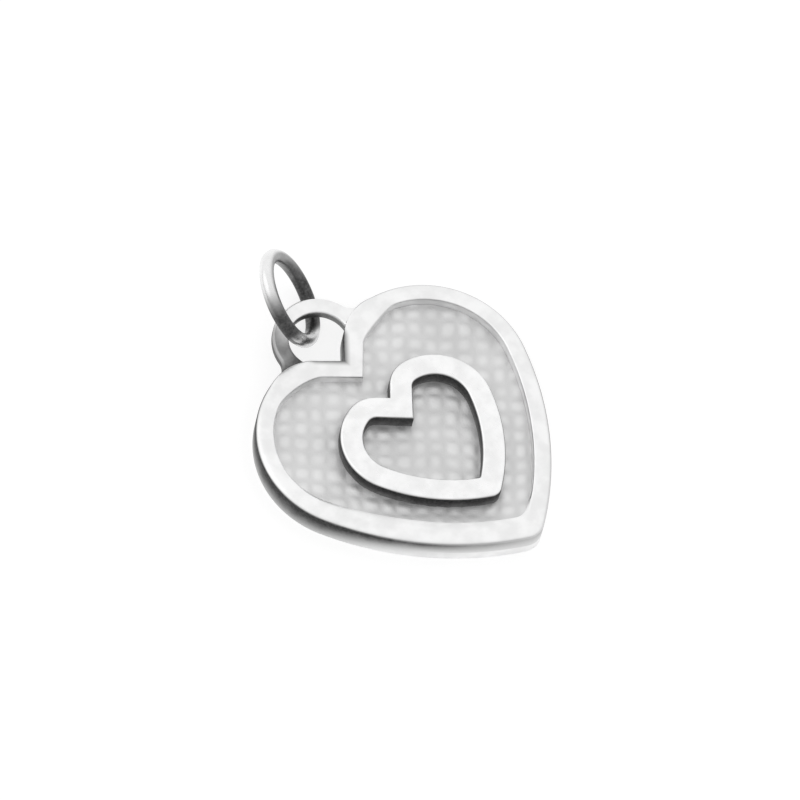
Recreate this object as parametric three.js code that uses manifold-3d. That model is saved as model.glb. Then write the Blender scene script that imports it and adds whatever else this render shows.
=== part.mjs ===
// Heart charm: a flat heart plate with a raised rim, a textured field, a raised open-heart motif,
// an arched eyelet over the cleft and a jump ring of round wire through it.
// Millimetres. The charm lies on its back: +X across the lobes, +Y from the tip to the eyelet,
// +Z out of its face. The origin is the middle of the heart, on the back.
import * as THREE from 'three';
import { mergeVertices } from 'three/addons/utils/BufferGeometryUtils.js';
import Module from 'manifold-3d';

const degree = Math.PI / 180;

// Heart outline. Heights run up the middle line from the point where the two sides would meet,
// and the cleft lies above the middles of the lobes.
const lobeOffset = 2.15;
const lobeRadius = 4.2;
const lobeHeight = 8.2;
const shoulderRadius = 2.35;
const cleftRise = 2.8;
const sideRadius = 13.5;
const tipRadius = 0.85;
const cleftAngle = 45 * degree;

// Layers, from the back upwards
const plateThickness = 0.55;
const rimHeight = 0.75;
const rimWidth = 0.75;
const rimRound = 0.16;
const fieldThickness = 0.35;
const fieldTipRadius = 0.6;
const seatGap = 0.03;

// Raised motif: a smaller heart, drawn as an open band
const motifLobeOffset = 1.2;
const motifLobeRadius = 2.35;
const motifLobeHeight = 4.6;
const motifShoulderRadius = 1.35;
const motifCleftRise = 1.55;
const motifSideRadius = 7.6;
const motifTipRadius = 0.5;
const motifInnerTipRadius = 0.12;
const motifRise = 2.35;
const motifStroke = 0.95;
const motifThickness = 0.65;
const motifRound = 0.07;

// Eyelet: an arch whose feet land on the two lobes
const eyeletRise = 1.4;
const eyeletHoleRadius = 1.25;
const eyeletBand = 0.68;
const eyeletRound = 0.12;
const eyeletFillet = 0.6;
const eyeletReach = 45 * degree;

// Jump ring, leaning over on the surface that the back rests on, with its lowest point under the eyelet
const ringInnerRadius = 1.55;
const wireDiameter = 0.6;
const ringPlay = 0.15;
const ringLift = 0.02;
const ringTurn = 37 * degree;
const ringLean = 36.5 * degree;
const ringSeatAngle = 50 * degree;
const ringSeatOut = 0.11;
const seamGap = 0.05;
const seamAngle = -80 * degree;

// Fineness of the facets
const arcSegments = 6;
const roundSegments = 2;
const archSteps = 28;
const ringSteps = 48;

const cleftHeight = lobeHeight + cleftRise;
const rimTop = plateThickness + rimHeight;
const fieldTop = plateThickness + fieldThickness;

const heart = {
  offset: lobeOffset,
  lobe: lobeRadius,
  height: lobeHeight,
  shoulder: shoulderRadius,
  cleft: cleftHeight,
  side: sideRadius,
};
const motif = {
  offset: motifLobeOffset,
  lobe: motifLobeRadius,
  height: motifLobeHeight,
  shoulder: motifShoulderRadius,
  cleft: motifLobeHeight + motifCleftRise,
  side: motifSideRadius,
};

// The point at given distances from two others, on the left of the way from the first to the second
function meetingPoint(first, firstReach, second, secondReach) {
  const way = second.clone().sub(first);
  const distance = way.length();
  const along = (firstReach ** 2 - secondReach ** 2 + distance ** 2) / (2 * distance);
  const across = Math.sqrt(firstReach ** 2 - along ** 2);
  way.divideScalar(distance);
  const left = new THREE.Vector2(-way.y, way.x);
  return first.clone().addScaledVector(way, along).addScaledVector(left, across);
}

// Centre of the long side arc of the right half: the arc starts at the sharp point and runs
// smoothly into the lobe.
function sideCentre({ offset, lobe, height, side }) {
  const sharpPoint = new THREE.Vector2(0, 0);
  return meetingPoint(sharpPoint, side, new THREE.Vector2(offset, height), side - lobe);
}

// Centre of the round tip, on the middle line
function tipCentre(dims, inset, tipRound) {
  const centre = sideCentre(dims);
  const reach = dims.side - inset - tipRound;
  return new THREE.Vector2(0, centre.y - Math.sqrt(reach ** 2 - centre.x ** 2));
}

// The straight edge of the cleft runs along one of these, and the other points out of the heart.
const cleftEdge = new THREE.Vector2(Math.sin(cleftAngle), Math.cos(cleftAngle));
const cleftOutward = new THREE.Vector2(-Math.cos(cleftAngle), Math.sin(cleftAngle));

function cleftPoint(dims, inset) {
  return new THREE.Vector2(0, dims.cleft - inset / Math.sin(cleftAngle));
}

// Centre of the shoulder arc, which touches the straight edge of the cleft and the lobe arc
function shoulderCentre(dims, inset, shoulderReach) {
  const lobe = new THREE.Vector2(dims.offset, dims.height);
  const start = cleftPoint(dims, inset).addScaledVector(cleftOutward, -shoulderReach);
  const toLobe = start.clone().sub(lobe);
  const half = toLobe.dot(cleftEdge);
  const room = (dims.lobe - inset - shoulderReach) ** 2 - toLobe.lengthSq();
  return start.addScaledVector(cleftEdge, Math.sqrt(half ** 2 + room) - half);
}

// Closed heart outline of arcs, moved inwards by inset and anticlockwise from the tip
function heartShape(dims, inset, tipRound) {
  const side = sideCentre(dims);
  const tip = tipCentre(dims, inset, tipRound);
  const lobe = new THREE.Vector2(dims.offset, dims.height);
  const lobeReach = dims.lobe - inset;
  const shoulderReach = Math.max(dims.shoulder - inset, inset / 10);
  const shoulder = shoulderCentre(dims, inset, shoulderReach);
  const cleft = cleftPoint(dims, inset);

  const sideStart = tip.clone().sub(side).angle();
  const sideEnd = lobe.clone().sub(side).angle();
  const shoulderStart = shoulder.clone().sub(lobe).angle();
  const shoulderEnd = cleftOutward.angle();
  const sideReach = dims.side - inset;

  const arcs = [
    [tip, tipRound, -Math.PI / 2, sideStart - 2 * Math.PI],
    [side, sideReach, sideStart, sideEnd],
    [lobe, lobeReach, sideEnd - 2 * Math.PI, shoulderStart],
    [shoulder, shoulderReach, shoulderStart, shoulderEnd],
  ];
  const outline = new THREE.Shape();
  for (const [centre, radius, from, to] of arcs) {
    outline.absarc(centre.x, centre.y, radius, from, to);
  }
  outline.lineTo(cleft.x, cleft.y);
  for (const [centre, radius, from, to] of arcs.reverse()) {
    outline.absarc(-centre.x, centre.y, radius, Math.PI - to, Math.PI - from);
  }
  return outline;
}

const wasm = await Module();
wasm.setup();

// Solid of a closed geometry, for cutting
function solidOf(geometry) {
  const bare = geometry.clone();
  bare.deleteAttribute('normal');
  bare.deleteAttribute('uv');
  const merged = mergeVertices(bare, 1e-5);
  const vertProperties = new Float32Array(merged.attributes.position.array);
  const triVerts = new Uint32Array(merged.index.array);
  return new wasm.Manifold(new wasm.Mesh({ numProp: 3, vertProperties, triVerts }));
}

// Geometry of a cut solid
function geometryOf(solid) {
  const mesh = solid.getMesh();
  const geometry = new THREE.BufferGeometry();
  geometry.setAttribute('position', new THREE.BufferAttribute(mesh.vertProperties, 3));
  geometry.setIndex(new THREE.BufferAttribute(mesh.triVerts, 1));
  return geometry;
}

// Straight-sided slab of an outline between two heights
function slab(outline, bottom, top) {
  const options = { depth: top - bottom, bevelEnabled: false, curveSegments: arcSegments };
  return new THREE.ExtrudeGeometry(outline, options).translate(0, 0, bottom);
}

// Slab whose upper edges are rounded and whose foot is flat
function crownedSlab(outline, bottom, top, round) {
  const blank = new THREE.ExtrudeGeometry(outline, {
    depth: top - bottom,
    bevelThickness: round,
    bevelSize: round,
    bevelOffset: -round,
    bevelSegments: roundSegments,
    curveSegments: arcSegments,
  });
  blank.translate(0, 0, bottom - round);
  const width = 4 * (lobeOffset + lobeRadius);
  const waste = new THREE.BoxGeometry(width, 4 * cleftHeight, top);
  waste.translate(0, 0, bottom - top / 2);
  return geometryOf(solidOf(blank).subtract(solidOf(waste)));
}

// Circular path in the plane of two directions, for bending a section round
class ArcPath extends THREE.Curve {
  constructor(radius, from, to, first, second) {
    super();
    Object.assign(this, { radius, from, to, first, second });
  }
  getPoint(t, target = new THREE.Vector3()) {
    const angle = this.from + (this.to - this.from) * t;
    target.set(0, 0, 0);
    target.addScaledVector(this.first, this.radius * Math.cos(angle));
    return target.addScaledVector(this.second, this.radius * Math.sin(angle));
  }
}

const alongX = new THREE.Vector3(1, 0, 0);
const alongY = new THREE.Vector3(0, 1, 0);
const alongZ = new THREE.Vector3(0, 0, 1);

function backPlate() {
  return slab(heartShape(heart, 0, tipRadius), 0, plateThickness);
}

function rimFrame() {
  const outline = heartShape(heart, 0, tipRadius);
  outline.holes.push(heartShape(heart, rimWidth, fieldTipRadius));
  return crownedSlab(outline, plateThickness, rimTop, rimRound);
}

function texturedField() {
  return slab(heartShape(heart, rimWidth + seatGap, fieldTipRadius), plateThickness, fieldTop);
}

function raisedMotif() {
  const outline = heartShape(motif, 0, motifTipRadius);
  outline.holes.push(heartShape(motif, motifStroke, motifInnerTipRadius));
  const bottom = fieldTop;
  return crownedSlab(outline, bottom, bottom + motifThickness, motifRound).translate(0, motifRise, 0);
}

// The wire passes under the eyelet, and the eyelet's top is level with the rim.
const eyeletBottom = wireDiameter + ringPlay;
const eyeletThickness = rimTop - eyeletBottom;
const eyeletCentre = cleftHeight + eyeletRise;
const eyeletBend = eyeletHoleRadius + eyeletBand / 2;

// Section of the eyelet's band: a rectangle with its corners cut
function bandSection() {
  const halfHeight = eyeletThickness / 2;
  const halfWidth = eyeletBand / 2;
  const section = new THREE.Shape();
  section.moveTo(halfHeight - eyeletRound, -halfWidth);
  section.lineTo(halfHeight, -halfWidth + eyeletRound);
  section.lineTo(halfHeight, halfWidth - eyeletRound);
  section.lineTo(halfHeight - eyeletRound, halfWidth);
  section.lineTo(-halfHeight + eyeletRound, halfWidth);
  section.lineTo(-halfHeight, halfWidth - eyeletRound);
  section.lineTo(-halfHeight, -halfWidth + eyeletRound);
  section.lineTo(-halfHeight + eyeletRound, -halfWidth);
  return section;
}

// Web that rounds the corner between the outside of the eyelet and the right lobe
function cornerWeb() {
  const arch = new THREE.Vector2(0, eyeletCentre);
  const shoulder = shoulderCentre(heart, 0, shoulderRadius);
  const archReach = eyeletHoleRadius + eyeletBand + eyeletFillet;
  const middle = meetingPoint(arch, archReach, shoulder, shoulderRadius + eyeletFillet);
  const toArch = arch.clone().sub(middle);
  const toShoulder = shoulder.clone().sub(middle);
  const inArch = arch.clone().addScaledVector(toArch, -eyeletBend / archReach);
  const outline = new THREE.Shape();
  outline.absarc(middle.x, middle.y, eyeletFillet, toArch.angle(), toShoulder.angle());
  outline.lineTo(shoulder.x, shoulder.y);
  outline.lineTo(inArch.x, inArch.y);
  return slab(outline, eyeletBottom, rimTop);
}

function eyelet() {
  const path = new ArcPath(eyeletBend, -eyeletReach, Math.PI + eyeletReach, alongX, alongY);
  const arch = new THREE.ExtrudeGeometry(bandSection(), { steps: archSteps, extrudePath: path });
  arch.translate(0, eyeletCentre, eyeletBottom + eyeletThickness / 2);
  const web = solidOf(cornerWeb());
  const whole = solidOf(arch).add(web).add(web.mirror([1, 0, 0]));
  const lobes = slab(heartShape(heart, -seatGap, tipRadius), -plateThickness, rimTop + plateThickness);
  return geometryOf(whole.subtract(solidOf(lobes)));
}

const ringBend = ringInnerRadius + wireDiameter / 2;

// Round wire bent to a ring, open at its seam
function jumpRing() {
  const halfSeam = seamGap / ringBend / 2;
  const from = seamAngle + halfSeam;
  const to = seamAngle + 2 * Math.PI - halfSeam;
  const path = new ArcPath(ringBend, from, to, alongY, alongZ);
  const section = new THREE.Shape();
  section.absarc(0, 0, wireDiameter / 2, 0, 2 * Math.PI);
  const options = { steps: ringSteps, extrudePath: path, curveSegments: arcSegments };
  return new THREE.ExtrudeGeometry(section, options);
}

// The middle of the ring, up the slope of its plane from its lowest point
const ringSeat = eyeletBend + ringSeatOut;
const ringSlope = ringBend * Math.sin(ringLean);
const ringPlace = new THREE.Vector3(
  ringSeat * Math.cos(ringSeatAngle) - ringSlope * Math.cos(ringTurn),
  eyeletCentre + ringSeat * Math.sin(ringSeatAngle) + ringSlope * Math.sin(ringTurn),
  ringLift + wireDiameter / 2 + ringBend * Math.cos(ringLean),
);

const polished = { color: 0xf1f1ee, roughness: 0.2, metalness: 1 };
const brushed = { color: 0xe2e2de, roughness: 0.35, metalness: 1 };
const woven = { color: 0xcfcfca, roughness: 0.45, metalness: 1 };

function piece(name, geometry, finish) {
  const mesh = new THREE.Mesh(geometry, new THREE.MeshStandardMaterial(finish));
  mesh.name = name;
  return mesh;
}

const charm = new THREE.Group();
charm.add(piece('back_plate', backPlate(), brushed));
charm.add(piece('rim_frame', rimFrame(), polished));
charm.add(piece('textured_field', texturedField(), woven));
charm.add(piece('raised_motif', raisedMotif(), polished));
charm.add(piece('eyelet', eyelet(), polished));

const ring = piece('jump_ring', jumpRing(), polished);
ring.position.copy(ringPlace);
ring.rotation.set(0, -ringLean, -ringTurn, 'ZYX');
charm.add(ring);

// The origin is half way up the heart.
const heartBottom = tipCentre(heart, 0, tipRadius).y - tipRadius;
const heartTop = lobeHeight + lobeRadius;
charm.position.y = -(heartBottom + heartTop) / 2;

export default charm;
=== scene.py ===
import math
import bmesh
import bpy
from mathutils import Matrix, Vector, noise


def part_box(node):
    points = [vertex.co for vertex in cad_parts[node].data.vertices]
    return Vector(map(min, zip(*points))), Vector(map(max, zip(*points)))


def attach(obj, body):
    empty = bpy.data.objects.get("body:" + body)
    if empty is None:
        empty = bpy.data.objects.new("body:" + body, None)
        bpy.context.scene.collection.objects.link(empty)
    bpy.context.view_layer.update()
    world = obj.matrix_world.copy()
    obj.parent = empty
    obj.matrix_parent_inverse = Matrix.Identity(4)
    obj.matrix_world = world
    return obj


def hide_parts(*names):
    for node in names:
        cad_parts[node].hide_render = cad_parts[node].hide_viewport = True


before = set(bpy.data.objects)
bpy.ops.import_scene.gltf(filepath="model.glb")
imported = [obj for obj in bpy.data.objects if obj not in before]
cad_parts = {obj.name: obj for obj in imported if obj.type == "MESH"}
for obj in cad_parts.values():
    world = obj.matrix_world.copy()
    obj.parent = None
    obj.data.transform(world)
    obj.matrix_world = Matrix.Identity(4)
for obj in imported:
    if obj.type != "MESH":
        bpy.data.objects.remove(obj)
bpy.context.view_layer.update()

# Pieces are drawn in millimetres and shrunk to metres when they are finished.
mm = 0.001
quarterTurn = math.pi / 2


def nodeBox(node):
    low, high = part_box(node)
    return low / mm, high / mm


# the camera looks down on the face from the left, a little towards the tip, and is rolled slightly
shot = {
    "target": (0.32, 1.93, 1.3),
    "right": (0.6753, -0.7261, 0.1297),
    "towards": (-0.4345, -0.2495, 0.8655),
    "distance": 600.0,
    "frameWidth": 32.5,  # what the picture spans at the target
    "sensor": 36.0,
    "clipFrom": 0.01,  # in metres
    "clipTo": 10.0,
}


def placeCamera():
    towards = Vector(shot["towards"]).normalized()
    up = towards.cross(Vector(shot["right"])).normalized()
    right = up.cross(towards)
    bpy.ops.object.camera_add()
    camera = bpy.context.object
    camera.name = "camera"
    turn = Matrix((right, up, towards)).transposed()
    spot = (Vector(shot["target"]) + towards * shot["distance"]) * mm
    camera.matrix_world = Matrix.Translation(spot) @ turn.to_4x4()
    camera.data.sensor_width = shot["sensor"]
    camera.data.lens = shot["sensor"] * shot["distance"] / shot["frameWidth"]
    camera.data.clip_start = shot["clipFrom"]
    camera.data.clip_end = shot["clipTo"]
    camera.data.dof.use_dof = False
    bpy.context.scene.camera = camera


placeCamera()
print("camera placed")


# Drawing in edit mode
weldReach = 1e-5
mirrorReach = 1e-4
wallUpTo = 0.3  # a wall looks up or down by less than this, a level face by more than the next
levelFrom = 0.7
spare = 1.0  # how far a cutter, or what it cuts, runs past the cut


def startPiece(name):
    bpy.ops.object.select_all(action="DESELECT")
    bpy.ops.mesh.primitive_plane_add(size=1)
    piece = bpy.context.object
    piece.name = name
    bpy.ops.object.mode_set(mode="EDIT")
    bpy.ops.mesh.select_mode(type="VERT")
    bpy.ops.mesh.select_all(action="SELECT")
    bpy.ops.mesh.delete(type="VERT")
    return piece


def dropPoint(place):
    bpy.ops.mesh.select_all(action="DESELECT")
    bpy.ops.mesh.primitive_plane_add(size=1, location=place)
    bpy.ops.mesh.merge(type="CENTER")


def pull(by):
    bpy.ops.mesh.extrude_region_move(TRANSFORM_OT_translate={"value": by})


# with no window a spin turns against its sign
def sweepArc(centre, z, turn, steps):
    bpy.ops.mesh.spin(steps=steps, angle=-turn, center=(*centre, z), axis=(0, 0, 1))


def stepLine(by):
    bpy.ops.mesh.extrude_vertices_move(TRANSFORM_OT_translate={"value": (*by, 0)})


def openMesh():
    return bmesh.from_edit_mesh(bpy.context.object.data)


def pickEdges(test):
    bpy.ops.mesh.select_mode(type="EDGE")
    bpy.ops.mesh.select_all(action="DESELECT")
    mesh = openMesh()
    mesh.normal_update()
    for edge in mesh.edges:
        edge.select_set(test(edge))
    mesh.select_flush_mode()
    bmesh.update_edit_mesh(bpy.context.object.data)


def faceSlopes(edge):
    return sorted(face.normal.z for face in edge.link_faces)


def isUpperEdge(edge):
    slopes = faceSlopes(edge)
    return len(slopes) == 2 and abs(slopes[0]) < wallUpTo and slopes[1] > levelFrom


def isLowerEdge(edge):
    slopes = faceSlopes(edge)
    return len(slopes) == 2 and abs(slopes[1]) < wallUpTo and slopes[0] < -levelFrom


def roundEdges(test, offset, segments):
    pickEdges(test)
    bpy.ops.mesh.bevel(offset=offset, segments=segments, profile=0.5, affect="EDGES")


def closeUp():
    bpy.ops.mesh.select_mode(type="VERT")
    bpy.ops.mesh.select_all(action="SELECT")
    bpy.ops.mesh.remove_doubles(threshold=weldReach)
    bpy.ops.mesh.normals_make_consistent(inside=False)


def choose(piece):
    bpy.ops.object.select_all(action="DESELECT")
    piece.select_set(True)
    bpy.context.view_layer.objects.active = piece


def addModifier(piece, kind, **settings):
    bpy.ops.object.mode_set(mode="OBJECT")
    choose(piece)
    modifier = piece.modifiers.new(kind.lower(), kind)
    for name, value in settings.items():
        setattr(modifier, name, value)
    bpy.ops.object.modifier_apply(modifier=modifier.name)


def cutPiece(piece, cutter, operation):
    addModifier(piece, "BOOLEAN", object=cutter, operation=operation, solver="MANIFOLD")
    bpy.data.objects.remove(cutter)


def reopen(piece):
    choose(piece)
    bpy.ops.object.mode_set(mode="EDIT")
    bpy.ops.mesh.select_all(action="SELECT")


# Heart outline: arcs for the tip, the long side, the lobe and the shoulder, then a straight edge
# down to the cleft. Heights run up the middle line from the point where the sides would meet.
heart = {
    "lobeOffset": 2.15,
    "lobeRadius": 4.2,
    "lobeHeight": 8.2,
    "shoulderRadius": 2.35,
    "cleftRise": 2.8,
    "sideRadius": 13.5,
    "tipRadius": 0.85,
    "rise": 0.0,  # how far the whole outline is lifted
}
cleftAngle = math.radians(45)  # between the middle line and the edges of the cleft
cleftEdge = Vector((math.sin(cleftAngle), math.cos(cleftAngle)))
cleftOutward = Vector((-math.cos(cleftAngle), math.sin(cleftAngle)))
arcSteps = {"tip": 10, "side": 36, "lobe": 44, "shoulder": 16}


def angleOf(vector):
    return math.atan2(vector.y, vector.x)


# where circles about two points cross, on the left of the way from one to the other
def meetingPoint(first, firstReach, second, secondReach):
    way = second - first
    along = (firstReach ** 2 - secondReach ** 2 + way.length_squared) / (2 * way.length)
    across = math.sqrt(firstReach ** 2 - along ** 2)
    way.normalize()
    return first + way * along + Vector((-way.y, way.x)) * across


def lobeCentre(dims):
    return Vector((dims["lobeOffset"], dims["lobeHeight"]))


def sideCentre(dims):
    side = dims["sideRadius"]
    return meetingPoint(Vector((0, 0)), side, lobeCentre(dims), side - dims["lobeRadius"])


def tipCentre(dims, inset, tipRound):
    side = sideCentre(dims)
    reach = dims["sideRadius"] - inset - tipRound
    return Vector((0, side.y - math.sqrt(reach ** 2 - side.x ** 2)))


def cleftPoint(dims, inset):
    return Vector((0, dims["lobeHeight"] + dims["cleftRise"] - inset / math.sin(cleftAngle)))


# the shoulder touches the straight edge of the cleft and the lobe
def shoulderCentre(dims, inset):
    reach = dims["shoulderRadius"] - inset
    start = cleftPoint(dims, inset) - cleftOutward * reach
    toLobe = start - lobeCentre(dims)
    half = toLobe.dot(cleftEdge)
    room = (dims["lobeRadius"] - dims["shoulderRadius"]) ** 2 - toLobe.length_squared
    return start + cleftEdge * (math.sqrt(half ** 2 + room) - half)


heartTop = heart["lobeHeight"] + heart["lobeRadius"]
heartBottom = tipCentre(heart, 0, heart["tipRadius"]).y - heart["tipRadius"]
toOrigin = -(heartTop + heartBottom) / 2  # from heights to the frame's own y


# a place in the right half, or its mirror image there, with its height
def onRightHalf(place):
    return Vector((abs(place.x), place.y - toOrigin))


def heartArcs(dims, inset, tipRound):
    lobe, side = lobeCentre(dims), sideCentre(dims)
    tip = tipCentre(dims, inset, tipRound)
    shoulder = shoulderCentre(dims, inset)
    sideStart, sideEnd = angleOf(tip - side), angleOf(lobe - side)
    shoulderStart, shoulderEnd = angleOf(shoulder - lobe), angleOf(cleftOutward)
    arcs = [
        ("tip", tip, sideStart + quarterTurn),
        ("side", side, sideEnd - sideStart),
        ("lobe", lobe, shoulderStart - sideEnd),
        ("shoulder", shoulder, shoulderEnd - shoulderStart),
    ]
    first = tip - Vector((0, tipRound))
    last = shoulder + cleftOutward * (dims["shoulderRadius"] - inset)
    return first, arcs, cleftPoint(dims, inset) - last


def drawHalfHeart(dims, inset, tipRound, z):
    first, arcs, lastStep = heartArcs(dims, inset, tipRound)
    lift = Vector((0, dims["rise"] + toOrigin))
    dropPoint((*(first + lift), z))
    for name, centre, turn in arcs:
        sweepArc(centre + lift, z, turn, arcSteps[name])
    stepLine(lastStep)


def mirrorHalves(piece):
    addModifier(piece, "MIRROR", merge_threshold=mirrorReach)
    reopen(piece)


def drawHeartPlate(name, inset, tipRound, bottom, top):
    piece = startPiece(name)
    drawHalfHeart(heart, inset, tipRound, bottom)
    mirrorHalves(piece)
    bpy.ops.mesh.edge_face_add()
    pull((0, 0, top - bottom))
    closeUp()
    return piece


# fall of an edge that is rounded to a quarter of an ellipse
def roundFall(way, reach, fall):
    short = max(1 - way / reach, 0)
    return fall * (1 - math.sqrt(1 - short ** 2))


def alwaysOne(place):
    return 1


def neverShifted(place, across, innerShare):
    return Vector((0, 0))


# Flat-footed band between two outlines. The outlines lie one unit of height apart while they are
# bridged, so that the height of a point tells its share of the way across.
def drawHeartBand(name, dims, band, bottom, top, slopeAt=alwaysOne, shiftAt=neverShifted):
    piece = startPiece(name)
    drawHalfHeart(dims, 0, band["outerTip"], 0)
    drawHalfHeart(dims, band["width"], band["innerTip"], 1)
    mirrorHalves(piece)
    bpy.ops.mesh.bridge_edge_loops(number_cuts=band["cuts"], interpolation="LINEAR")
    for vertex in openMesh().verts:
        across = vertex.co.z
        fromOutside = across * band["width"]
        fromInside = band["width"] - fromOutside
        outerFall = roundFall(fromOutside, band["outerRound"], band["outerFall"] * slopeAt(vertex.co))
        innerShare = roundFall(fromInside, band["innerRound"], 1)
        shift = shiftAt(vertex.co, across, innerShare)
        vertex.co.z = top - outerFall - band["innerRound"] * innerShare
        vertex.co.xy += shift
    bpy.ops.mesh.select_all(action="SELECT")
    pull((0, 0, bottom - top))
    bpy.ops.transform.resize(value=(1, 1, 0), center_override=(0, 0, bottom))
    closeUp()
    return piece


# Finishing: each point's painted shade follows from its place and the way it faces
def markPaintedShade(piece, rule):
    mesh = piece.data
    marks = mesh.attributes.new("paintedShade", "FLOAT", "POINT")
    for vertex, normal in zip(mesh.vertices, mesh.vertex_normals):
        marks.data[vertex.index].value = rule(vertex.co, normal.vector)


def smoothStep(low, high, value):
    share = min(max((value - low) / (high - low), 0), 1)
    return share * share * (3 - 2 * share)


def finishPiece(piece, node, body, material, paintedShade=None, sharpAngle=40):
    bpy.ops.object.mode_set(mode="OBJECT")
    choose(piece)
    if paintedShade:
        markPaintedShade(piece, paintedShade)
    bpy.ops.transform.resize(value=(mm, mm, mm), center_override=(0, 0, 0))
    bpy.ops.object.transform_apply(location=True, rotation=True, scale=True)
    bpy.ops.object.shade_smooth_by_angle(angle=math.radians(sharpAngle))
    addModifier(piece, "WEIGHTED_NORMAL", keep_sharp=True)
    piece.data.materials.clear()
    piece.data.materials.append(material)
    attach(piece, body)
    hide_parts(node)
    print(node, "finished,", len(piece.data.polygons), "faces")


# Shader writing: a wire is a socket, and sums of wires add Math nodes
class Wire:
    def __init__(self, tree, socket=None):
        self.tree = tree
        self.socket = socket

    def node(self, kind, settings=None, inputs=None, output=0):
        made = self.tree.nodes.new("ShaderNode" + kind)
        for name, value in (settings or {}).items():
            setattr(made, name, value)
        for key, value in (inputs or {}).items():
            if isinstance(value, Wire):
                self.tree.links.new(value.socket, made.inputs[key])
            else:
                made.inputs[key].default_value = value
        return Wire(self.tree, made.outputs[output] if made.outputs else None)

    def math(self, operation, first, second):
        return self.node("Math", {"operation": operation}, {0: first, 1: second})

    def __add__(self, other):
        return self.math("ADD", self, other)

    def __radd__(self, other):
        return self.math("ADD", other, self)

    def __sub__(self, other):
        return self.math("SUBTRACT", self, other)

    def __rsub__(self, other):
        return self.math("SUBTRACT", other, self)

    def __mul__(self, other):
        return self.math("MULTIPLY", self, other)

    def __rmul__(self, other):
        return self.math("MULTIPLY", other, self)

    def part(self, name):
        return Wire(self.tree, self.socket.node.outputs[name])

    def ease(self, low, high):
        settings = {"interpolation_type": "SMOOTHSTEP"}
        return self.node("MapRange", settings, {"Value": self, "From Min": low, "From Max": high})

    def mixed(self, first, second):
        return self.node("Mix", {"data_type": "RGBA"}, {0: self, 6: first, 7: second}, output=2)


def grey(level):
    return (level, level, level, 1)


def newMaterial(name):
    material = bpy.data.materials.new(name)
    material.use_nodes = True
    material.node_tree.nodes.clear()
    return material, Wire(material.node_tree)


def inMillimetres(pen):
    place = pen.node("TexCoord", output="Object")
    return pen.node("VectorMath", {"operation": "SCALE"}, {0: place, "Scale": 1 / mm})


def cloud(place, scale, detail):
    return place.node("TexNoise", None, {"Vector": place, "Scale": scale, "Detail": detail})


def stretched(place, scale, turn):
    inputs = {"Vector": place, "Scale": scale, "Rotation": (0, 0, turn)}
    return place.node("Mapping", None, inputs)


def metal(pen, colour, roughness, height, depth):
    normal = pen.node("Bump", None, {"Height": height, "Distance": depth * mm, "Strength": 1.0})
    inputs = {"Base Color": colour, "Roughness": roughness, "Metallic": 1.0, "Normal": normal}
    shader = pen.node("BsdfPrincipled", None, inputs)
    pen.node("OutputMaterial", None, {"Surface": shader})


# Polished silver: soft handling marks on the bright faces, painted shade where a piece is marked for it
silver = {
    "patchScale": 1.3,  # scales are per millimetre
    "patchSpan": (0.32, 0.68),  # spans are the noise levels that a change runs between
    "dullPolish": 0.9,  # share of the bright level in the dull patches
    "speckScale": 9.0,
    "speckSpan": (0.3, 0.75),
    "deepShade": 0.7,  # shares of the painted shade's dark level
    "paleShade": 1.4,
    "shadeLeast": 0.8,  # painted shade varies from patch to patch
    "shadeVaries": 0.4,
    "shadeSpan": (0.0, 0.95),
    "waveScale": 2.2,
    "scratchScale": (26.0, 2.0, 26.0),
    "scratchTurn": 0.6,  # in radians
    "scratchRough": 0.1,
    "shadeRough": 0.2,
    "waveHeight": 0.7,
    "scratchHeight": 0.12,
    "speckHeight": 0.2,
    "depth": 0.012,
}


# the finish is the piece's own dictionary, with its bright level, the dark level of its painted shade,
# and its roughness
def polishedSilver(name, finish):
    bright, dark = finish["bright"], finish["dark"]
    material, pen = newMaterial(name)
    place = inMillimetres(pen)
    patches = cloud(place, silver["patchScale"], detail=3.0)
    waves = cloud(place, silver["waveScale"], detail=1.0)
    streaks = stretched(place, silver["scratchScale"], silver["scratchTurn"])
    scratches = cloud(streaks, 1.0, detail=2.0)
    specks = cloud(place, silver["speckScale"], detail=2.0)
    # painted shade: a dark, speckled colour wherever a piece's points are marked for it
    paintedShade = pen.node("Attribute", {"attribute_name": "paintedShade"}, output="Fac")
    uneven = silver["shadeLeast"] + silver["shadeVaries"] * patches
    shadeMask = (paintedShade * uneven).ease(*silver["shadeSpan"])
    dull = bright * silver["dullPolish"]
    polish = patches.ease(*silver["patchSpan"]).mixed(grey(dull), grey(bright))
    deep, pale = dark * silver["deepShade"], dark * silver["paleShade"]
    shadeColour = specks.ease(*silver["speckSpan"]).mixed(grey(deep), grey(pale))
    colour = shadeMask.mixed(polish, shadeColour)
    gloss = finish["roughness"] + silver["scratchRough"] * scratches + silver["shadeRough"] * shadeMask
    relief = silver["waveHeight"] * waves + silver["scratchHeight"] * scratches
    metal(pen, colour, gloss, relief + silver["speckHeight"] * specks, silver["depth"])
    return material


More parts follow.
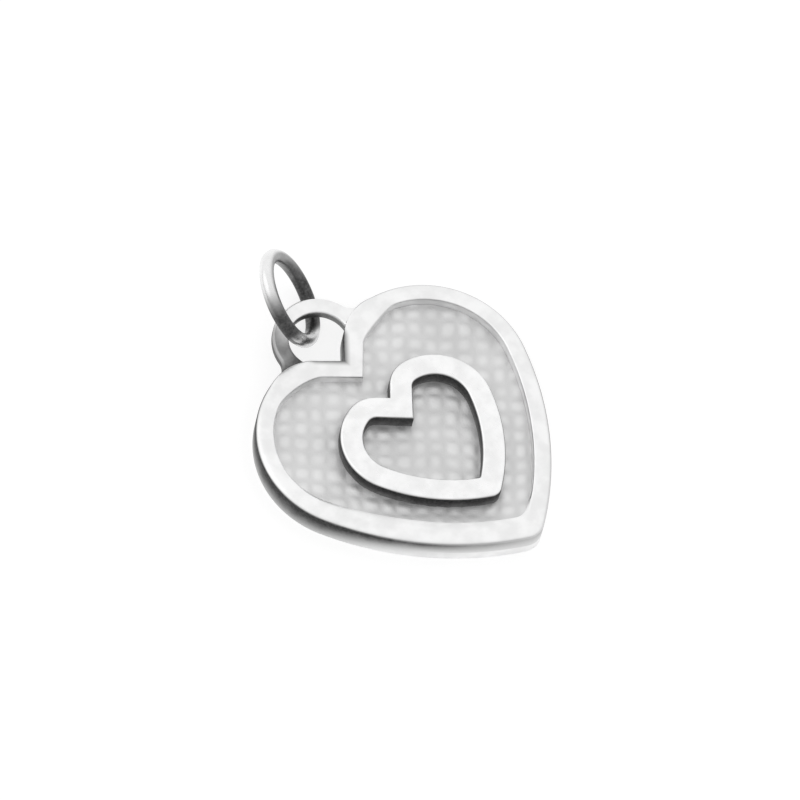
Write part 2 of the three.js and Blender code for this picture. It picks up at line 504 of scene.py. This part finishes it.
# Eyelet: a flat band bent over the cleft, its feet spreading where they join the lobes. It comes
# before the rim, which is shaped to meet those feet.
arch = {
    "hole": 1.25,
    "band": 0.68,
    "fillet": 0.6,
    "edgeRound": 0.13,
    "roundSteps": 4,
    "reach": math.radians(45),  # the round of the hole goes on this far below its middle
    "sunk": 0.4,  # how far the feet run into the lobes before they are cut
    "gap": 0.004,
    "step": 0.05,  # from the rim's crest down to the arch
    "steps": {"outside": 40, "fillet": 12, "inside": 56},
    "bright": 0.92,
    "dark": 0.07,
    "roughness": 0.26,
    "wallFaces": (0.15, 0.75),  # how far up or down a face looks, from wall to level
    # painted shade on the walls
    "wallShade": 0.65,
    # a painted shadow of the ring: the left side, which the ring rests against, is darkened, most of all
    # at its foot: across is x, along y
    "leftAcross": (-1.2, -0.1),
    "leftShade": 0.8,
    "dull": 0.5,
    "rootShadow": 0.8,
    "rootAlong": (5.95, 6.6),
}
archMiddle = Vector((0, nodeBox("eyelet")[1].y - arch["hole"] - arch["band"]))


# painted shade on the eyelet's walls, and a painted shadow of the ring on its left side
def archPaintedShade(place, normal):
    wall = 1 - smoothStep(*arch["wallFaces"], abs(normal.z))
    left = 1 - smoothStep(*arch["leftAcross"], place.x)
    root = 1 - smoothStep(*arch["rootAlong"], place.y)
    side = arch["wallShade"] + (arch["leftShade"] - arch["wallShade"]) * left
    return max(wall * side, left * (arch["dull"] + (arch["rootShadow"] - arch["dull"]) * root))


def drawHalfArch(middle, z):
    outside = arch["hole"] + arch["band"]
    shoulder = shoulderCentre(heart, 0) + Vector((0, toOrigin))
    shoulderReach = heart["shoulderRadius"]
    fillet = meetingPoint(middle, outside + arch["fillet"], shoulder, shoulderReach + arch["fillet"])
    leaves = angleOf(fillet - middle)
    filletTurn = angleOf(fillet - shoulder) - leaves
    outward = (fillet - shoulder).normalized()
    touch = shoulder + outward * shoulderReach
    foot = shoulder + outward * (shoulderReach - arch["sunk"])
    heel = middle + Vector((math.cos(arch["reach"]), -math.sin(arch["reach"]))) * arch["hole"]
    steps = arch["steps"]
    dropPoint((middle.x, middle.y + outside, z))
    sweepArc(middle, z, leaves - quarterTurn, steps["outside"])
    sweepArc(fillet, z, filletTurn, steps["fillet"])
    stepLine(foot - touch)
    stepLine(heel - foot)
    sweepArc(middle, z, quarterTurn + arch["reach"], steps["inside"])


def makeEyelet():
    low, high = nodeBox("eyelet")
    top = high.z - arch["step"]
    piece = startPiece("eyeletArch")
    drawHalfArch(archMiddle, low.z)
    mirrorHalves(piece)
    bpy.ops.mesh.edge_face_add()
    pull((0, 0, top - low.z))
    closeUp()
    roundEdges(isUpperEdge, arch["edgeRound"], arch["roundSteps"])
    roundEdges(isLowerEdge, arch["edgeRound"], arch["roundSteps"])
    bpy.ops.object.mode_set(mode="OBJECT")
    tipRound = heart["tipRadius"] + arch["gap"]
    cutter = drawHeartPlate("lobeCutter", -arch["gap"], tipRound, low.z - spare, high.z + spare)
    cutPiece(piece, cutter, "DIFFERENCE")
    reopen(piece)
    bpy.ops.mesh.quads_convert_to_tris(quad_method="BEAUTY", ngon_method="BEAUTY")
    bpy.ops.mesh.beautify_fill()
    material = polishedSilver("eyelet_finish", arch)
    finishPiece(piece, "eyelet", "heart", material, archPaintedShade)


# Rim: a band round the heart whose top slopes away outwards
rim = {
    "width": 0.75,
    "outerTip": heart["tipRadius"],
    "innerTip": 0.6,
    "outerRound": 0.45,
    "outerFall": 0.17,
    "innerRound": 0.09,
    "cuts": 27,
    "bright": 0.93,
    "dark": 0.055,
    "roughness": 0.26,
    # the top slopes less where the eyelet's feet join it, as measured from the eyelet's middle
    "flush": 0.75,
    "flushFrom": (0.8, 1.2),
    "flushTo": (2.35, 3.3),
    # the upper part of the side is left free of painted shade at that joint
    "joinFrom": (1.2, 1.4),
    "joinTo": (1.95, 2.25),
    "joinRise": (0.6, 1.1),
    # a painted shadow darkens the outer edge in the eyelet's hole, as measured from the middle line
    "holeEnds": (0.9, 1.3),
    "holeShadowLevel": 0.75,
    "holeFade": 0.3,
    # the inner edge is spread, and softer, along the lower left
    "worn": 0.28,
    "wornBulge": 0.8,
    "wornAcross": (-0.2, 1.6),
    "wornAlong": (-2.5, 3.5),
    # the inner edge is flatter than the outline round the shoulders, and its wall carries painted shade
    "leftFill": 0.19,
    "rightFill": 0.3,
    "fillAt": math.radians(99),
    "fillReach": 1.5,
    "shoulderShade": 0.22,
    # how far up a face looks, from wall to top and from the edge's round to top
    "wallFaces": (0.45, 0.85),
    "edgeFaces": (0.8, 0.99),
    # painted shade on the inside wall and on the round of the outer edge
    "innerShade": 0.05,
    "edgeShade": 0.28,
    # the painted shade on the heart's side is paler towards the tip
    "sideAlong": (-6.5, 1.5),
    "tipShade": 0.4,
    "tipFade": 1.2,
    "footShade": 0.36,
    "darkFrom": 1.05,  # height on the side where the painted shade is full
}
shoulderOut = Vector((math.cos(rim["fillAt"]), math.sin(rim["fillAt"])))
innerShoulder = shoulderCentre(heart, 0) + shoulderOut * (heart["shoulderRadius"] - rim["width"])


# painted shade on the heart's side: black under the rim, paler at the foot and the tip
def sidePaintedShade(place):
    share = smoothStep(*rim["sideAlong"], place.y)
    top = rim["tipShade"] + (1 - rim["tipShade"]) * math.sqrt(share)
    foot = rim["footShade"] * share ** 2
    fade = 1 + rim["tipFade"] * (1 - share)
    return foot + (top - foot) * min(place.z / rim["darkFrom"], 1) ** fade


# one where the feet of the eyelet stand, nought further in and out
def nearFeet(place, inner, outer):
    way = (place.xy - archMiddle).length
    return smoothStep(*inner, way) - smoothStep(*outer, way)


# one at the inside of a shoulder, falling away to both sides
def nearShoulder(place):
    way = (onRightHalf(place) - innerShoulder).length
    return max(1 - (way / rim["fillReach"]) ** 2, 0) ** 2


# painted shade on the rim's walls and outer edge, and a painted shadow in the eyelet's hole; faces that
# look towards the heart's middle are on the inside of the rim
def rimPaintedShade(place, normal):
    wall = 1 - smoothStep(*rim["wallFaces"], normal.z)
    if normal.x * place.x + normal.y * place.y < 0:
        return wall * (rim["innerShade"] + rim["shoulderShade"] * nearShoulder(place))
    edge = 1 - smoothStep(*rim["edgeFaces"], normal.z)
    inHole = 1 - smoothStep(*rim["holeEnds"], abs(place.x))
    depth = (cleftPoint(heart, 0) - onRightHalf(place)).dot(cleftOutward)
    holeShadow = inHole * rim["holeShadowLevel"] * max(1 - depth / rim["holeFade"], 0)
    unshaded = nearFeet(place, rim["joinFrom"], rim["joinTo"]) * (1 - inHole)
    unshaded *= smoothStep(*rim["joinRise"], place.z)
    return max(wall * sidePaintedShade(place), edge * rim["edgeShade"], holeShadow) * (1 - unshaded)


# the left side's inner edge, and the corner at the tip with it, moves towards that side's centre
def rimWear(place):
    centre = sideCentre(heart)
    inwards = Vector((-centre.x, centre.y + toOrigin)) - place.xy
    left = 1 - smoothStep(*rim["wornAcross"], place.x)
    low = 1 - smoothStep(*rim["wornAlong"], place.y)
    return inwards.normalized() * rim["worn"] * left * low


# the inner edge of a shoulder moves towards the shoulder's centre
def rimFill(place):
    if place.x > 0:
        return -shoulderOut * rim["rightFill"] * nearShoulder(place)
    mirrored = Vector((-shoulderOut.x, shoulderOut.y))
    return -mirrored * rim["leftFill"] * nearShoulder(place)


# wear moves only the round of the inner edge, and filling moves the top too, less towards the outside
def rimShift(place, across, innerShare):
    return rimWear(place) * innerShare ** rim["wornBulge"] + rimFill(place) * across ** 2


# the top is nearly level where the eyelet's feet join it
def rimSlope(place):
    return 1 - rim["flush"] * nearFeet(place, rim["flushFrom"], rim["flushTo"])


def makeRim():
    low, high = nodeBox("rim_frame")
    piece = drawHeartBand("rimBand", heart, rim, low.z, high.z, rimSlope, rimShift)
    material = polishedSilver("rim_finish", rim)
    finishPiece(piece, "rim_frame", "heart", material, rimPaintedShade)


# Back plate
plate = {
    "footRound": 0.09,
    "roundSteps": 3,
    "bright": 0.96,
    "dark": 0.055,
    "roughness": 0.34,
    "wallFaces": (-0.9, -0.2),  # how far up a face looks, from back to wall
}


# painted shade on the side wall
def platePaintedShade(place, normal):
    return smoothStep(*plate["wallFaces"], normal.z) * sidePaintedShade(place)


def makePlate():
    low, high = nodeBox("back_plate")
    piece = drawHeartPlate("backPlate", 0, heart["tipRadius"], low.z, high.z)
    roundEdges(isLowerEdge, plate["footRound"], plate["roundSteps"])
    material = polishedSilver("back_finish", plate)
    finishPiece(piece, "back_plate", "heart", material, platePaintedShade)


# Woven field: threads at 45 degrees to the middle line, each passing over and under in turn
weave = {
    "pitch": 0.69,
    "pointsPerThread": 14,
    "span": 16.0,
    "relief": 0.042,
    "roundness": 1.6,  # powers of a cosine: across a thread, and along it to where it dives under
    "overLength": 1.0,
    "wander": 0.22,  # threads stray by up to this share of the pitch
    "wanderScale": 0.55,
    "wanderLayers": (0.0, 7.0),  # layers of the noise that are read
    "unevenness": 0.45,
    "unevenLayer": 3.5,
    "gap": 0.005,
    "sharpAngle": 70,
    "crestFrom": 0.2,  # share of the relief, down from the top, that counts as crest
    "patchScale": 0.7,
    "patchSpan": (0.3, 0.7),
    "padLevels": (0.72, 0.8),
    "grooveLevels": (0.65, 0.73),
    "roughness": 0.52,
    "crestPolish": 0.08,
    "grainScale": 14.0,
    "grainRough": 0.12,
    "grainDepth": 0.006,
}


# a thread lying over its neighbour: round across, sinking at both ends
def padHeight(across, along):
    crown = math.cos(math.pi * across) ** weave["roundness"]
    return crown * math.cos(math.pi * along) ** weave["overLength"]


def stray(u, v, layer):
    scale = weave["wanderScale"]
    return weave["wander"] * noise.noise((u * scale, v * scale, layer))


# places are counted in threads, and threads cross in the middle of each square
def weaveHeight(u, v):
    uLayer, vLayer = weave["wanderLayers"]
    u += stray(u, v, uLayer)
    v += stray(u, v, vLayer)
    column, row = math.floor(u), math.floor(v)
    across, along = u - column - 0.5, v - row - 0.5
    if (column + row) % 2:
        across, along = along, across
    share = 0.5 + 0.5 * noise.cell((column + 0.5, row + 0.5, weave["unevenLayer"]))
    return max(padHeight(across, along), 0) * (1 - weave["unevenness"] * share)


# pads are a little paler and smoother than the grooves between them
def wovenSilver(top):
    material, pen = newMaterial("field_finish")
    place = inMillimetres(pen)
    height = pen.node("SeparateXYZ", None, {"Vector": place}, output="Z")
    crest = height.ease(top - weave["relief"], top - weave["crestFrom"] * weave["relief"])
    patches = cloud(place, weave["patchScale"], detail=3.0).ease(*weave["patchSpan"])
    grain = cloud(place, weave["grainScale"], detail=2.0)
    pad = patches.mixed(*map(grey, weave["padLevels"]))
    groove = patches.mixed(*map(grey, weave["grooveLevels"]))
    colour = crest.mixed(groove, pad)
    gloss = weave["roughness"] + weave["grainRough"] * grain - weave["crestPolish"] * crest
    metal(pen, colour, gloss, grain, weave["grainDepth"])
    return material


def makeField():
    low, high = nodeBox("textured_field")
    piece = startPiece("wovenField")
    count = round(weave["span"] / weave["pitch"] * weave["pointsPerThread"])
    bpy.ops.mesh.primitive_grid_add(x_subdivisions=count, y_subdivisions=count, size=weave["span"])
    bpy.ops.transform.rotate(value=quarterTurn / 2, orient_axis="Z", center_override=(0, 0, 0))
    diagonal = math.sqrt(0.5) / weave["pitch"]
    for vertex in openMesh().verts:
        x, y = vertex.co.x, vertex.co.y
        rise = weaveHeight((x + y) * diagonal, (y - x) * diagonal)
        vertex.co.z = high.z - weave["relief"] * (1 - rise)
    bmesh.update_edit_mesh(piece.data)
    bpy.ops.mesh.select_all(action="SELECT")
    bpy.ops.mesh.region_to_loop()
    pull((0, 0, -spare))
    bpy.ops.transform.resize(value=(1, 1, 0), center_override=(0, 0, low.z - spare))
    bpy.ops.mesh.edge_face_add()
    closeUp()
    bpy.ops.object.mode_set(mode="OBJECT")
    inset = rim["width"] + weave["gap"]
    cutter = drawHeartPlate("fieldCutter", inset, rim["innerTip"], low.z, high.z + spare)
    cutPiece(piece, cutter, "INTERSECT")
    material = wovenSilver(high.z)
    finishPiece(piece, "textured_field", "heart", material, sharpAngle=weave["sharpAngle"])


# Raised open heart
motif = {
    "lobeOffset": 1.2,
    "lobeRadius": 2.35,
    "lobeHeight": 4.6,
    "shoulderRadius": 1.35,
    "cleftRise": 1.55,
    "sideRadius": 7.6,
    "rise": 2.35,
    "width": 0.95,
    "outerTip": 0.5,
    "innerTip": 0.12,
    "outerRound": 0.14,
    "outerFall": 0.1,
    "innerRound": 0.1,
    "cuts": 27,
    "sunk": 0.12,  # the foot reaches below the weave's crests
    "bright": 0.96,
    "dark": 0.06,
    "roughness": 0.24,
    "wallFaces": (0.3, 0.8),  # how far up a face looks, from wall to top
    "footShade": 0.66,  # painted shade on the walls is paler at the foot
    "darkFrom": 0.5,
}
motifFoot = nodeBox("raised_motif")[0].z - motif["sunk"]


# painted shade on the walls, darkest at the top
def motifPaintedShade(place, normal):
    wall = 1 - smoothStep(*motif["wallFaces"], normal.z)
    share = smoothStep(motifFoot, motifFoot + motif["darkFrom"], place.z)
    return wall * (motif["footShade"] + (1 - motif["footShade"]) * share)


def makeMotif():
    top = nodeBox("raised_motif")[1].z
    piece = drawHeartBand("openHeart", motif, motif, motifFoot, top)
    material = polishedSilver("motif_finish", motif)
    finishPiece(piece, "raised_motif", "heart", material, motifPaintedShade)


# Jump ring: round wire bent until its sawn ends all but meet
wire = {
    "insideRadius": 1.55,
    "diameter": 0.6,
    "sides": 32,
    "steps": 128,
    "seamGap": 0.05,
    "seamAngle": math.radians(-80),
    "lean": math.radians(36.5),
    "turn": math.radians(37),
    "bright": 0.9,
    "dark": 0.08,
    "roughness": 0.16,
    "headAngle": math.radians(30),  # the head of the ring, above its level line, where the painted shade is least
    "insideFaces": (-0.1, 0.8),  # how far outwards a face looks, from inside to outside
    "insideShade": 0.9,
    "headClears": 0.3,  # the painted shade inside is lighter near the head
    "headSpan": (0.3, 1.6),  # spans are measured from the ring's middle towards the head
    "underFaces": (-0.75, 0.0),  # how far a face looks along the ring's axis
    "underSpan": (-0.9, 1.5),
    "allRound": 0.9,
    "allRoundSpan": (-0.9, 1.3),
    "shadeLifted": 0.75,
    "shadeLiftedSpan": (-1.75, -1.35),
}


# painted shade: dark inside and underneath, and all round towards the eyelet, with less of it again at
# the far end in the eyelet's hole
def ringPaintedShade(middle, axis):
    level = Vector((math.sin(wire["turn"]), math.cos(wire["turn"]), 0))
    head = level * math.cos(wire["headAngle"]) + axis.cross(level) * math.sin(wire["headAngle"])

    def rule(place, normal):
        way = place - middle
        along = way.dot(head)
        outward = (way - axis * way.dot(axis)).normalized()
        inside = 1 - smoothStep(*wire["insideFaces"], normal.dot(outward))
        inside *= wire["insideShade"] - wire["headClears"] * smoothStep(*wire["headSpan"], along)
        under = 1 - smoothStep(*wire["underFaces"], normal.dot(axis))
        under *= 1 - smoothStep(*wire["underSpan"], along)
        allRound = wire["allRound"] * (1 - smoothStep(*wire["allRoundSpan"], along))
        shadeLifted = wire["shadeLifted"] * (1 - smoothStep(*wire["shadeLiftedSpan"], along))
        return max(inside, under, allRound) * (1 - shadeLifted)

    return rule


def makeRing():
    low, high = nodeBox("jump_ring")
    middle = (low + high) / 2
    bend = wire["insideRadius"] + wire["diameter"] / 2
    piece = startPiece("jumpRing")
    bpy.ops.mesh.primitive_circle_add(
        vertices=wire["sides"], radius=wire["diameter"] / 2, fill_type="NGON", location=(0, bend, 0)
    )
    halfSeam = wire["seamGap"] / bend / 2
    start = wire["seamAngle"] + halfSeam
    bpy.ops.transform.rotate(value=-start, orient_axis="X", center_override=(0, 0, 0))
    sweep = 2 * math.pi - 2 * halfSeam
    bpy.ops.mesh.spin(steps=wire["steps"], angle=-sweep, center=(0, 0, 0), axis=(1, 0, 0))
    closeUp()
    turn, lean = wire["turn"], wire["lean"]
    bpy.ops.transform.rotate(value=lean, orient_axis="Y", center_override=(0, 0, 0))
    bpy.ops.transform.rotate(value=turn, orient_axis="Z", center_override=(0, 0, 0))
    bpy.ops.transform.translate(value=middle)
    material = polishedSilver("ring_finish", wire)
    level = math.cos(lean)
    axis = Vector((level * math.cos(turn), -level * math.sin(turn), math.sin(lean)))
    finishPiece(piece, "jump_ring", "ring", material, ringPaintedShade(middle, axis))


makeRim()
makePlate()
makeField()
makeMotif()
makeEyelet()
makeRing()
print("pieces made")


# Stage, in metres: a table that looks white, a pale room that darkens towards the front, a soft lamp
stage = {
    "floorSpan": 1.6,
    "floorDrop": 0.00002,
    "floorColour": (0.32, 0.32, 0.32, 1),
    "floorLift": 0.75,
    "roomBright": 1.0,
    "roomDim": 0.62,
    "roomBack": (0.5, 0.29, 0.8),  # the way to the bright end of the room
    "roomSpan": (-0.3, 0.6),
    "lampFrom": (-0.4, 0.65, 0.65),
    "lampSpread": math.radians(60),
    "lampPower": 0.2,
}


def isSeen(pen):
    seen = pen.node("LightPath", output="Is Camera Ray")
    both = pen.math("MAXIMUM", seen, seen.part("Is Glossy Ray"))
    return pen.math("MAXIMUM", both, seen.part("Is Transmission Ray"))


def makeFloor():
    bpy.ops.object.select_all(action="DESELECT")
    bpy.ops.mesh.primitive_plane_add(size=stage["floorSpan"], location=(0, 0, -stage["floorDrop"]))
    floor = bpy.context.object
    floor.name = "floor"
    material, pen = newMaterial("floor_white")
    matte = pen.node("BsdfDiffuse", None, {"Color": stage["floorColour"]})
    glow = pen.node("Emission", None, {"Strength": isSeen(pen) * stage["floorLift"]})
    both = pen.node("AddShader", None, {0: matte, 1: glow})
    pen.node("OutputMaterial", None, {"Surface": both})
    floor.data.materials.append(material)


def makeRoom():
    world = bpy.data.worlds.new("room")
    world.use_nodes = True
    world.node_tree.nodes.clear()
    bpy.context.scene.world = world
    pen = Wire(world.node_tree)
    ways = {0: pen.node("TexCoord", output="Generated"), 1: stage["roomBack"]}
    back = pen.node("VectorMath", {"operation": "DOT_PRODUCT"}, ways, output="Value")
    level = back.ease(*stage["roomSpan"])
    room = level.mixed(grey(stage["roomDim"]), grey(stage["roomBright"]))
    sky = pen.node("Background", None, {"Color": room, "Strength": 1.0})
    pen.node("OutputWorld", None, {"Surface": sky})


def makeLamp():
    bpy.ops.object.light_add(type="SUN")
    lamp = bpy.context.object
    lamp.name = "softLamp"
    lamp.data.energy = stage["lampPower"]
    lamp.data.angle = stage["lampSpread"]
    lamp.rotation_euler = Vector(stage["lampFrom"]).to_track_quat("Z", "Y").to_euler()


makeFloor()
makeRoom()
makeLamp()
bpy.context.scene.view_settings.view_transform = "Standard"
print("stage set")
